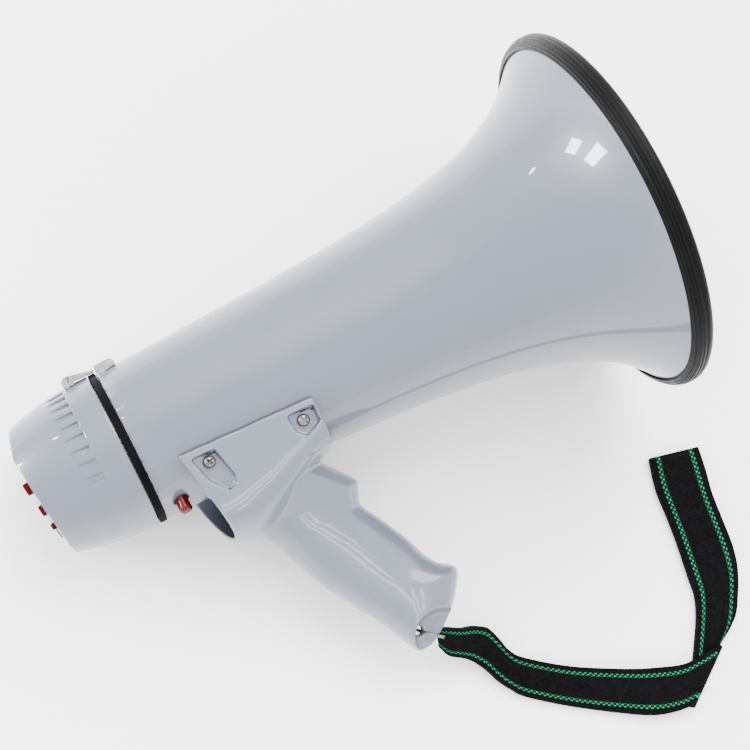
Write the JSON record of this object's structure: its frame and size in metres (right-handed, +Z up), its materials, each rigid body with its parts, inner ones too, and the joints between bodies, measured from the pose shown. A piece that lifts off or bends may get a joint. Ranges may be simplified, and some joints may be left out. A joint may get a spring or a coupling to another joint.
{
  "type": "handheld megaphone",
  "caption": "Light grey handheld megaphone with a flared horn, black rubber rim, pistol grip, removable rear cap with red controls, clear latch and a black wrist strap, lying on its side.",
  "frame": {"origin": "on the surface that the megaphone lies on, under the middle of its outline", "axes": "+X along the horn's horizontal run, from the rear cap to the mouth; +Y away from the grip; +Z up"},
  "size_m": [0.2842, 0.2754, 0.157],
  "materials": {
    "body_plastic": "gloss, light blue-grey",
    "black_rubber": "satin",
    "inner_plastic": "matt",
    "steel": "bright plated",
    "film": "thin amber film",
    "cell_wrap": "shrink sleeve",
    "wire_red": "soft insulation",
    "wire_black": "soft insulation",
    "connector": "natural nylon",
    "red_plastic": "translucent red",
    "clear_plastic": "clear moulded",
    "board": "solder mask",
    "aluminium": "plain",
    "webbing": "woven, two green stripes"
  },
  "bodies": {
    "horn": {"horn_shell": "body_plastic", "bell_rim": "black_rubber", "seal_band": "black_rubber", "reflector": "body_plastic", "throat_tube": "inner_plastic", "driver_cover": "inner_plastic", "driver_front_plate": "steel", "driver_magnet": "inner_plastic", "driver_yoke": "steel", "diaphragm": "film", "battery_sleeve": "inner_plastic", "battery_cell_1": "cell_wrap", "battery_cell_2": "cell_wrap", "battery_cell_3": "cell_wrap", "battery_cell_4": "cell_wrap", "battery_bridge": "steel", "battery_spring_1": "steel", "battery_spring_2": "steel", "speaker_lead_positive": "wire_red", "speaker_lead_negative": "wire_black", "link_socket": "connector", "talk_button_collar": "inner_plastic", "talk_switch": "inner_plastic", "handle_right": "body_plastic", "handle_left": "body_plastic", "saddle_screw_1": "steel", "saddle_screw_2": "steel", "saddle_screw_3": "steel", "saddle_screw_4": "steel", "grip_screw_1": "steel", "grip_screw_2": "steel", "grip_screw_3": "steel", "latch_keeper": "clear_plastic", "strap_ring": "steel"},
    "cap": {"rear_cap": "body_plastic", "rear_panel": "body_plastic", "mic_grille": "inner_plastic", "microphone": "aluminium", "panel_screw_1": "steel", "panel_screw_2": "steel", "amplifier_board": "board", "heat_sink": "aluminium", "terminal_plate": "inner_plastic", "terminal_spring": "steel", "terminal_contact": "steel", "link_plug": "connector", "power_switch": "inner_plastic", "siren_switch": "inner_plastic", "mode_switch": "inner_plastic", "volume_control": "inner_plastic", "latch_base": "clear_plastic", "latch_pin": "steel"},
    "latch": {"latch_lever": "clear_plastic"},
    "talk": {"talk_button": "red_plastic"},
    "power": {"power_button": "red_plastic"},
    "siren": {"siren_button": "red_plastic"},
    "mode": {"mode_slider": "red_plastic"},
    "volume": {"volume_dial": "inner_plastic"},
    "strap": {"wrist_strap": "webbing"}
  },
  "joints": [
    {"name": "rear_cap_slide", "type": "slide", "parent": "horn", "child": "cap", "axis": [-0.98, 0, -0.199], "range_m": [0, 0.06]},
    {"name": "latch_hinge", "type": "hinge", "parent": "cap", "child": "latch", "pos_m": [-0.10731, 0.09133, 0.04044], "axis": [-0.1942, -0.2192, 0.9562], "range_deg": [0, 70]},
    {"name": "talk_button_press", "type": "slide", "parent": "horn", "child": "talk", "axis": [0.0708, 0.9346, -0.3486], "range_m": [0, 0.0018], "stiffness_N_per_m": 300},
    {"name": "power_button_press", "type": "slide", "parent": "cap", "child": "power", "axis": [0.9675, 0.1182, 0.2236], "range_m": [0, 0.0014], "stiffness_N_per_m": 300},
    {"name": "siren_button_press", "type": "slide", "parent": "cap", "child": "siren", "axis": [0.9675, 0.1182, 0.2236], "range_m": [0, 0.0014], "stiffness_N_per_m": 300},
    {"name": "mode_slider_slide", "type": "slide", "parent": "cap", "child": "mode", "axis": [0.1942, 0.2192, -0.9562], "range_m": [-0.0015, 0.0015]},
    {"name": "volume_dial_turn", "type": "hinge", "parent": "cap", "child": "volume", "pos_m": [-0.13125, 0.04482, 0.01551], "axis": [0.9675, 0.1182, 0.2236], "range_deg": [0, 270]},
    {"name": "strap_swing", "type": "hinge", "parent": "horn", "child": "strap", "pos_m": [-0.01336, -0.06533, 0.02362], "axis": [0, 0, 1], "range_deg": [-30, 15]}
  ]
}
